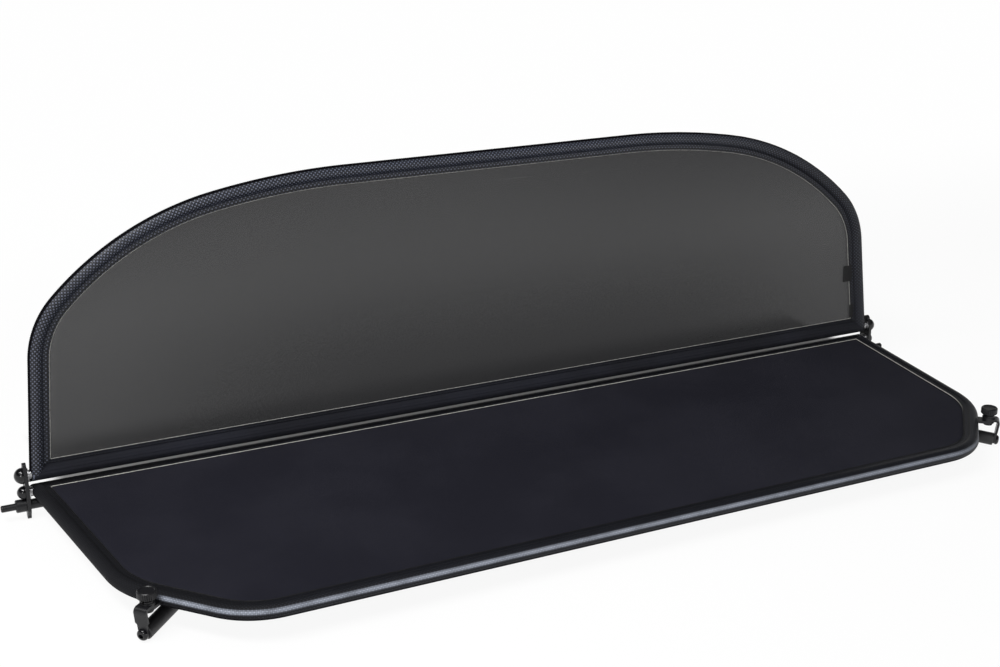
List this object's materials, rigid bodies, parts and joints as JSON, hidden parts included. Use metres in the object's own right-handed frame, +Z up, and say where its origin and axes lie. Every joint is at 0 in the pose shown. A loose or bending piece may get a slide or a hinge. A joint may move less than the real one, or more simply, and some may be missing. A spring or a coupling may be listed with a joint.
{
  "type": "folding wind deflector",
  "caption": "Folding wind deflector: a D-shaped mesh screen hinged on a flat cloth cover, on bent tube frames, with sprung pins and corner hooks.",
  "frame": {"origin": "middle of the footprint, on the surface that the two corner hooks and the two hinge plates stand on", "axes": "+X to the right along the hinge line, seen from the front edge; +Y from the front edge towards the hinge line; +Z up"},
  "size_m": [1.0742, 0.3554, 0.3151],
  "materials": {
    "frame_steel": "satin black powder coat on bent steel tube",
    "satin_black_steel": "satin black coating",
    "gloss_black_steel": "glossy black coating",
    "bare_steel": "bare turned steel",
    "jaw_rubber": "smooth matt rubber",
    "cover_cloth": "close-woven matt navy-black cloth, stretched",
    "cover_binding": "soft woven edge binding with pale cut edge",
    "woven_binding": "coarse open basket weave, blue-grey on black",
    "base_binding": "smooth folded and stitched cloth",
    "fine_mesh": "fine grey-black mesh, slightly see-through",
    "tab_cloth": "plain black tape"
  },
  "bodies": {
    "cover": {"cover_frame_tube": "frame_steel", "cover_fabric": "cover_cloth", "cover_binding": "cover_binding", "cover_plug_left": "bare_steel", "cover_plug_right": "bare_steel", "cover_screw_left": "gloss_black_steel", "cover_screw_right": "gloss_black_steel", "cover_washer_left": "bare_steel", "cover_washer_right": "bare_steel", "hinge_plate_left": "satin_black_steel", "hinge_plate_right": "satin_black_steel", "pin_tube_left": "satin_black_steel", "pin_tube_right": "satin_black_steel", "pin_collar_left": "satin_black_steel", "pin_collar_right": "satin_black_steel", "pin_spring_left": "bare_steel", "pin_spring_right": "bare_steel", "pin_stop_left": "bare_steel", "pin_stop_right": "bare_steel", "clamp_lug_left": "satin_black_steel", "clamp_lug_right": "satin_black_steel"},
    "screen": {"screen_frame_tube": "frame_steel", "screen_mesh": "fine_mesh", "screen_binding": "woven_binding", "screen_base_binding": "base_binding", "edge_tabs": "tab_cloth", "screen_plug_left": "bare_steel", "screen_plug_right": "bare_steel", "pivot_screw_left": "gloss_black_steel", "pivot_screw_right": "gloss_black_steel", "pivot_washer_left": "bare_steel", "pivot_washer_right": "bare_steel"},
    "pin_left": {"locating_pin_left": "satin_black_steel"},
    "hook_left": {"hook_strap_left": "satin_black_steel", "jaw_rod_left": "bare_steel", "jaw_rubber_left": "jaw_rubber", "jaw_bolt_left": "gloss_black_steel"},
    "washers_left": {"flat_washer_left": "satin_black_steel", "spring_washer_left": "satin_black_steel"},
    "thumb_left": {"thumb_screw_left": "satin_black_steel"},
    "pin_right": {"locating_pin_right": "satin_black_steel"},
    "hook_right": {"hook_strap_right": "satin_black_steel", "jaw_rod_right": "bare_steel", "jaw_rubber_right": "jaw_rubber", "jaw_bolt_right": "gloss_black_steel"},
    "washers_right": {"flat_washer_right": "satin_black_steel", "spring_washer_right": "satin_black_steel"},
    "thumb_right": {"thumb_screw_right": "satin_black_steel"}
  },
  "joints": [
    {"name": "screen_fold", "type": "hinge", "parent": "cover", "child": "screen", "pos_m": [0, 0.15532, 0.0457], "axis": [1, 0, 0], "range_deg": [-12, 93]},
    {"name": "pin_slide_left", "type": "slide", "parent": "cover", "child": "pin_left", "axis": [1, 0, 0], "range_m": [0, 0.01], "stiffness_N_per_m": 800, "springref_m": -0.01, "deforming": ["pin_spring_left"]},
    {"name": "hook_swivel_left", "type": "hinge", "parent": "cover", "child": "hook_left", "pos_m": [-0.4587, -0.11701, 0.0279], "axis": [0, 0, 1], "range_deg": [-90, 90]},
    {"name": "washer_rise_left", "type": "slide", "parent": "cover", "child": "washers_left", "axis": [0, 0, 1], "range_m": [0, 0.003]},
    {"name": "thumb_turn_left", "type": "hinge", "parent": "washers_left", "child": "thumb_left", "pos_m": [-0.4587, -0.11701, 0.0279], "axis": [0, 0, 1], "range_deg": [0, 1080]},
    {"name": "pin_slide_right", "type": "slide", "parent": "cover", "child": "pin_right", "axis": [-1, 0, 0], "range_m": [0, 0.01], "stiffness_N_per_m": 800, "springref_m": -0.01, "deforming": ["pin_spring_right"]},
    {"name": "hook_swivel_right", "type": "hinge", "parent": "cover", "child": "hook_right", "pos_m": [0.4587, -0.11701, 0.0279], "axis": [0, 0, 1], "range_deg": [-90, 90]},
    {"name": "washer_rise_right", "type": "slide", "parent": "cover", "child": "washers_right", "axis": [0, 0, 1], "range_m": [0, 0.003]},
    {"name": "thumb_turn_right", "type": "hinge", "parent": "washers_right", "child": "thumb_right", "pos_m": [0.4587, -0.11701, 0.0279], "axis": [0, 0, 1], "range_deg": [0, 1080]}
  ],
  "couplings": [
    {"joint": "thumb_turn_left", "follows": "washer_rise_left", "rad_per_m": 6283.2},
    {"joint": "thumb_turn_right", "follows": "washer_rise_right", "rad_per_m": 6283.2}
  ]
}
